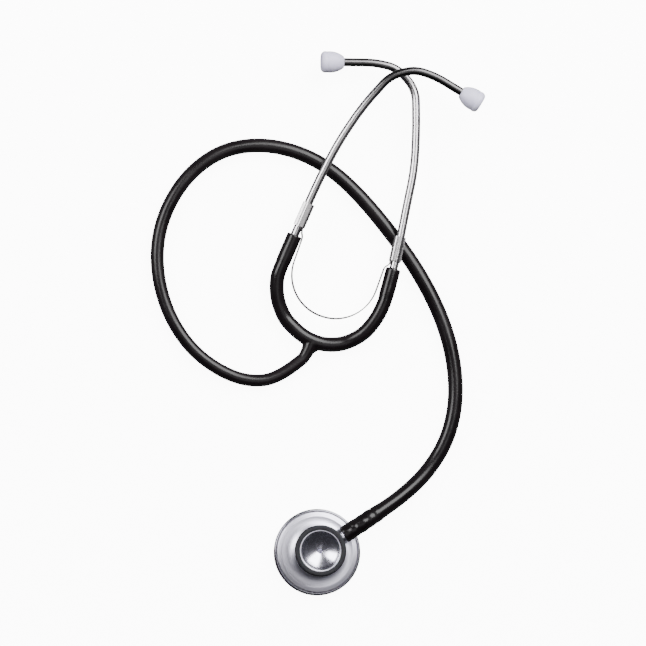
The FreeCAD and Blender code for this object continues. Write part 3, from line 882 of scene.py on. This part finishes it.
def make_ear_tip(side):
    """A soft tip: narrow neck, full body and a rounded face with the sound hole."""
    line = ear_tube_path(side)
    last, along = line.points[-1], line.tangents[-1]
    axis = Path([last - along * 7.2, last - along * 6.2], up=line.up)
    outer = [(2.32, 0.0), (3.0, 0.0), (3.4, 0.4)]
    outer += arc((3.4, 0.4), (5.8, 9.4), 12.0, 1, 14)
    outer += [(5.8, 9.4)] + arc((5.8, 9.4), (4.3, 12.7), 2.6, 1, 10) + [(4.3, 12.7)]
    outer += [(2.2, 12.62), (1.7, 12.2), (1.6, 11.4), (1.6, 8.0), (2.95, 8.0), (2.95, 0.5)]

    def handmade(s, angle, r):
        """Soft unevenness of the outside."""
        if r <= 3:
            return 0.0
        place = Vector((math.cos(angle) * 1.2, math.sin(angle) * 1.2, s * 0.3))
        return 0.035 * noise.noise(place)

    tip = turned("eartip_" + side + "_soft", softened(outer, 0.3), axis,
                 [soft_tip(colours())], sides=96, shape=handmade)
    mount_piece(tip, BODY[side], "eartip_soft", "eartip_" + side)


def make_clip(side):
    """A channel of thin sheet folded round the ear tube and the spring's end."""
    inward = -1 if side == "right" else 1
    back, half, lip, half_wall = 3.265, 3.075, 2.28, 0.225
    crown_high, rib_high = 0.5, 0.16
    middle = bent_points([(-2.9, -lip, 0), (-0.75, -half, 0), (back, -half, 0),
                          (back, half, 0), (-0.75, half, 0), (-2.9, lip, 0)],
                         [1.6, 1.15, 1.15, 1.6], step=math.radians(9))
    strip = Path(middle)

    def edge(distance, offset):
        """Both flats are crowned, with a pressed rib along them."""
        place, _, across, _ = strip.at(distance)
        crown = crown_high * max(0.0, 1 - ((place.x - 0.6) / 2.6) ** 2)
        rib = rib_high * math.exp(-((place.x + 0.3) / 0.35) ** 2)
        lift = (crown + rib) * smooth((abs(place.y) - half + 0.5) / 0.5)
        proud = place + across * offset
        return (proud.x * inward, proud.y + math.copysign(lift, place.y))

    steps = stations(0.12, strip.length - 0.12, 0.3) + [strip.length - 0.12]
    outline = [edge(0, 0)] + [edge(d, half_wall) for d in steps]
    outline += [edge(strip.length, 0)] + [edge(d, -half_wall) for d in steps[::-1]]
    line = clip_path(side)
    distances = [0.0, 0.12] + stations(0.5, line.length - 0.5, 1.2)
    distances += [line.length - 0.5, line.length - 0.12, line.length]
    clip = drawn("spring_clip_" + side + "_sheet", line, outline, distances,
                 [clip_metal(colours())])
    mount_piece(clip, BODY[side], "clip_metal", "spring_clip_" + side)


def leaf_line():
    """Centre line of the leaf spring, from the left clip to the right one."""
    inverse = HEADSET.inverted()
    ends = {}
    for side, offset in (("left", LEAF_FROM_TUBE), ("right", -LEAF_FROM_TUBE)):
        line = clip_path(side)
        found = []
        # from just inside the clip's far end to just out of its near end
        for distance in (line.length - 0.8, -2.2):
            middle, _, across, _ = line.at(distance)
            found.append(inverse @ (middle + across * offset))
        ends[side] = found
    route = ends["left"] + [Vector(p) for p in LEAF_ROUTE] + ends["right"][::-1]
    radii = [None, None, LEAF_BOW_RADIUS, LEAF_BOW_RADIUS, None, None]
    return Path([HEADSET @ p for p in bent_points(route, radii)])


def make_leaf_spring():
    """A thin strip on its edge, in two halves that meet in the middle."""
    line = leaf_line()
    middle = line.nearest(HEADSET @ Vector(LEAF_MIDDLE))
    thin, tall = 0.36, 2.2
    outline = softened([(thin, -tall), (thin, tall), (-thin, tall), (-thin, -tall)], 0.2)
    for side, start, end in (("left", 0.0, middle), ("right", middle, line.length)):
        distances = stations(start, end, 0.7) + [end]
        leaf = drawn("leaf_spring_" + side, line, outline, distances,
                     [spring_steel(colours())])
        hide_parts("leaf_spring")
        held = line.at(start + LEAF_HELD if side == "left" else end - LEAF_HELD)[0]
        line.at(middle)[0] * MM
        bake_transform(leaf)


def make_head_body():
    """Dish, neck and bell in one turned piece, with a boss that the stem turns in."""
    outline = [(1.1, 2.8), (18.9, 2.4), (19.8, 1.9), (22.3, 1.9), (22.3, 5.6), (21.9, 6.0),
               (19.5, 6.6)]
    outline += arc((19.5, 6.6), (9, 13), 10, -1, 26) + [(9, 13), (9, 15.6)]
    outline += arc((9, 15.6), (12, 22.3), 11, -1, 16)
    outline += [(12, 22.3), (12, 23.5), (12.6, 23.5), (12.6, 25), (10.7, 25), (9.4, 23.9)]
    outline += arc((9.4, 23.9), (1.3, 20.4), 27, -1, 30) + [(1.3, 20.4), (1.1, 19.6)]
    head = turned("chestpiece_plated", softened(outline, 0.22), upright(),
                  [satin_chrome(colours()), polished_chrome(colours())], sides=256)
    cup_floor, cup_edge = 19.0, 10.75
    paint_where(head, 1, lambda p: p.z > cup_floor and p.xy.length < cup_edge)
    mount_piece(head, "head", "chest_metal", "chestpiece_body")
    boss = turned("stem_boss_plated", softened([
        (3.05, 4.0), (6.6, 7.0), (5.7, 8.6), (5.2, 10.2), (5.2, 12.4), (3.05, 12.4)], 0.3),
        stem_axis(), [satin_chrome(colours())], sides=96)
    mount_piece(boss, "head", "chest_metal", "chestpiece_body")


def make_bell_rim():
    """Soft ring that grips the bell's lip."""
    outline = [(11.3, 25.05), (12.65, 25.05), (12.65, 23.45), (12.05, 23.45), (12.05, 22.3),
               (13.2, 22.3), (14, 23.2), (14, 25.1)]
    outline += arc((14, 25.1), (13.1, 26), 0.9, 1, 8) + [(13.1, 26), (11.8, 26)]
    outline += arc((11.8, 26), (11.3, 25.5), 0.5, 1, 6) + [(11.3, 25.5)]
    rim = turned("bell_rim_soft", softened(outline, 0.2), upright(), [rim_rubber(colours())])
    mount_piece(rim, "head", "rim_rubber", "bell_rim")


def make_diaphragm():
    """Stiff film with its raised flange, and two faint pressed rings."""
    outline = [(19.6, 0), (20.3, 0.9), (21.6, 0.9), (21.6, 1.3), (20.1, 1.3), (19.4, 0.4),
               (0, 0.4), (0, 0)]
    for r in (6.0, 15.5):
        outline += [(r - 0.5, 0), (r, 0.06), (r + 0.5, 0)]
    film = turned("diaphragm_film", softened(outline, 0.12), upright(),
                  [film_plastic(colours())])
    mount_piece(film, "head", "film", "diaphragm")


def make_diaphragm_ring():
    """Screwed clamp ring with a rounded edge and one fine groove."""
    outline = [(20.7, 0.3), (22.9, 0.3)] + arc((22.9, 0.3), (23.7, 1.1), 0.8, 1, 6)
    outline += [(23.7, 1.1), (23.7, 1.5), (23.5, 1.7), (23.7, 1.9), (23.7, 4.5)]
    outline += arc((23.7, 4.5), (22.7, 5.5), 1.0, 1, 8)
    outline += [(22.7, 5.5), (22.35, 5.5), (22.35, 1.85), (21.75, 1.85), (21.75, 0.85),
                (20.7, 0.85)]
    ring = turned("diaphragm_ring_plated", softened(outline, 0.1), upright(),
                  [ring_metal(colours())])
    mount_piece(ring, "head", "ring_metal", "diaphragm_ring")


def make_stem():
    """Hollow stem: detent groove, seal groove, collar and barbs."""
    outline = [(1.4, -4.2), (2.6, -4.2), (3, -3.8), (3, 4), (2.6, 4.45), (2.6, 5.55), (3, 6),
               (3, 8.75), (1.92, 8.75), (1.92, 10.25), (3, 10.25), (3, 12.6), (3.9, 12.6),
               (4.6, 13.5), (4.6, 15.9), (4.1, 16.4), (2.35, 16.4)]
    for barb in range(3):
        foot = 18 + BARB_PITCH * barb
        outline += [(2.35, foot), (2.7, foot + 0.2), (2.35, foot + 3)]
    outline += [(2.35, 32.7), (2.05, 33), (1.4, 33)]
    stem = turned("stem_plated", softened(outline, 0.15), stem_axis(),
                  [polished_chrome(colours())], sides=96)
    mount_piece(stem, "root", "stem_metal", "stem")


def finish_hidden_parts():
    """Inner parts keep their own shapes and get their own finishes."""
    finishes = {
        "stem_o_ring": seal_rubber, "diaphragm_gasket": seal_rubber,
        "detent_ball": ground_steel, "detent_spring": ground_steel,
        "detent_plug": ground_steel, "ear_bush_left": bush_brass,
        "ear_bush_right": bush_brass,
    }
    for node, build in finishes.items():
        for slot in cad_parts[node].material_slots:
            slot.material = build(colours())


# ---- stage ----


def make_camera():
    """Nearly straight down, a little from the lower left."""
    data = bpy.data.cameras.new("camera")
    data.sensor_width = 36
    data.lens = 304
    data.clip_start = 0.1
    data.clip_end = 50
    camera = bpy.data.objects.new("camera", data)
    bpy.context.scene.collection.objects.link(camera)
    target = Vector((3.55, 126.17, 0)) * MM
    distance = 3.0
    back = Vector((-0.09, -0.08, 1)).normalized()
    right = Vector((0, 1, 0)).cross(back).normalized()
    top = back.cross(right)
    turn = Matrix((right, top, back)).transposed().to_4x4()
    camera.matrix_world = Matrix.Translation(target + back * distance) @ turn
    bpy.context.scene.camera = camera


def softbox(name, azimuth, tilt, distance, width, height, power):
    """A rectangular light that looks at the object. tilt is from straight overhead."""
    middle = Vector((0, 0.12, 0))
    data = bpy.data.lights.new(name, "AREA")
    data.shape = "RECTANGLE"
    data.size = width
    data.size_y = height
    data.energy = power
    light = bpy.data.objects.new(name, data)
    bpy.context.scene.collection.objects.link(light)
    azimuth, tilt = math.radians(azimuth), math.radians(tilt)
    out = Vector((math.sin(tilt) * math.cos(azimuth), math.sin(tilt) * math.sin(azimuth),
                  math.cos(tilt)))
    light.location = middle + out * distance
    light.rotation_mode = "QUATERNION"
    light.rotation_quaternion = out.to_track_quat("Z", "Y")
    light.visible_camera = False


def make_lights():
    """Two softboxes on the ear tips' side, a faint one overhead and a dim room."""
    softbox("key_upper_right", 52, 40, 1.6, 1.1, 1.4, 53)
    softbox("key_upper_left", 157, 48, 1.6, 0.8, 0.8, 22)
    softbox("overhead", 290, 14, 2.4, 1.3, 1.3, 5)
    world = bpy.data.worlds.new("studio")
    world.use_nodes = True
    room = world.node_tree.nodes["Background"]
    room.inputs["Color"].default_value = (0.9, 0.9, 1, 1)
    room.inputs["Strength"].default_value = 0.03
    bpy.context.scene.world = world


def make_floor():
    """A plain white sheet. The glow that keeps it white isn't cast on the object."""
    dark, pale, glow_strength = (0.1, 0.1, 0.1, 1), (0.92, 0.92, 0.92, 1), 10.0
    material = bpy.data.materials.new("white_sheet")
    material.use_nodes = True
    tree = material.node_tree
    shader = tree.nodes["Principled BSDF"]
    shader.inputs["Roughness"].default_value = 0.9
    seen = tree.nodes.new("ShaderNodeLightPath")
    base = tree.nodes.new("ShaderNodeMix")
    base.data_type = "RGBA"
    base.inputs["A"].default_value = dark
    base.inputs["B"].default_value = pale
    glow = tree.nodes.new("ShaderNodeMath")
    glow.operation = "MULTIPLY"
    glow.inputs[1].default_value = glow_strength
    tree.links.new(seen.outputs["Is Camera Ray"], base.inputs["Factor"])
    tree.links.new(base.outputs["Result"], shader.inputs["Base Color"])
    tree.links.new(seen.outputs["Is Camera Ray"], glow.inputs[0])
    shader.inputs["Emission Color"].default_value = (1, 1, 1, 1)
    tree.links.new(glow.outputs["Value"], shader.inputs["Emission Strength"])
    mesh = bpy.data.meshes.new("floor")
    reach, low = 6.0, -0.0003
    mesh.from_pydata([(-reach, -reach, low), (reach, -reach, low), (reach, reach, low),
                      (-reach, reach, low)], [], [(0, 1, 2, 3)])
    mesh.materials.append(material)
    floor = bpy.data.objects.new("floor", mesh)
    bpy.context.scene.collection.objects.link(floor)


# ---- operators ----


class STETHOSCOPE_OT_camera(bpy.types.Operator):
    """Place the camera"""

    bl_idname = "stethoscope.camera"
    bl_label = "Camera"

    def execute(self, context):
        make_camera()
        return {"FINISHED"}


class STETHOSCOPE_OT_long_tube(bpy.types.Operator):
    """Lay the long tube"""

    bl_idname = "stethoscope.long_tube"
    bl_label = "Long Tube"

    def execute(self, context):
        make_long_tube(sizes())
        return {"FINISHED"}


class STETHOSCOPE_OT_yoke(bpy.types.Operator):
    """Build the moulded Y and its two arms"""

    bl_idname = "stethoscope.yoke"
    bl_label = "Yoke"

    def execute(self, context):
        line = yoke_line()
        make_yoke_middle(line, sizes())
        for side in ("left", "right"):
            make_arm(side, line, sizes())
        return {"FINISHED"}


class STETHOSCOPE_OT_headset(bpy.types.Operator):
    """Build the ear tubes, ear tips, clips and leaf spring"""

    bl_idname = "stethoscope.headset"
    bl_label = "Headset"

    def execute(self, context):
        for side in ("left", "right"):
            make_ear_tube(side, sizes())
            make_ear_tip(side)
            make_clip(side)
        make_leaf_spring()
        return {"FINISHED"}


class STETHOSCOPE_OT_chest_piece(bpy.types.Operator):
    """Build the chest piece and its stem"""

    bl_idname = "stethoscope.chest_piece"
    bl_label = "Chest Piece"

    def execute(self, context):
        make_head_body()
        make_bell_rim()
        make_diaphragm()
        make_diaphragm_ring()
        make_stem()
        return {"FINISHED"}


class STETHOSCOPE_OT_hidden_parts(bpy.types.Operator):
    """Finish the inner parts"""

    bl_idname = "stethoscope.hidden_parts"
    bl_label = "Hidden Parts"

    def execute(self, context):
        finish_hidden_parts()
        return {"FINISHED"}


class STETHOSCOPE_OT_stage(bpy.types.Operator):
    """Add the floor and the lights"""

    bl_idname = "stethoscope.stage"
    bl_label = "Stage"

    def execute(self, context):
        make_floor()
        make_lights()
        return {"FINISHED"}


OPERATORS = (
    STETHOSCOPE_OT_camera,
    STETHOSCOPE_OT_long_tube,
    STETHOSCOPE_OT_yoke,
    STETHOSCOPE_OT_headset,
    STETHOSCOPE_OT_chest_piece,
    STETHOSCOPE_OT_hidden_parts,
    STETHOSCOPE_OT_stage,
)


class STETHOSCOPE_PT_panel(bpy.types.Panel):
    """Sizes, colours and the build steps"""

    bl_idname = "STETHOSCOPE_PT_panel"
    bl_label = "Stethoscope"
    bl_space_type = "VIEW_3D"
    bl_region_type = "UI"
    bl_category = "Stethoscope"

    def draw(self, context):
        for group in (context.scene.stethoscope_sizes, context.scene.stethoscope_colours):
            box = self.layout.box()
            for name in type(group).__annotations__:
                box.prop(group, name)
        for operator in OPERATORS:
            self.layout.operator(operator.bl_idname)


CLASSES = (StethoscopeSizes, StethoscopeColours, *OPERATORS, STETHOSCOPE_PT_panel)


def register():
    for cls in CLASSES:
        bpy.utils.register_class(cls)
    bpy.types.Scene.stethoscope_sizes = PointerProperty(type=StethoscopeSizes)
    bpy.types.Scene.stethoscope_colours = PointerProperty(type=StethoscopeColours)


def unregister():
    del bpy.types.Scene.stethoscope_colours
    del bpy.types.Scene.stethoscope_sizes
    for cls in reversed(CLASSES):
        bpy.utils.unregister_class(cls)


def main():
    """Builds everything."""
    register()
    for operator in OPERATORS:
        step = operator.bl_idname.split(".")[1]
        getattr(bpy.ops.stethoscope, step)()


if __name__ == "__main__":
    main()
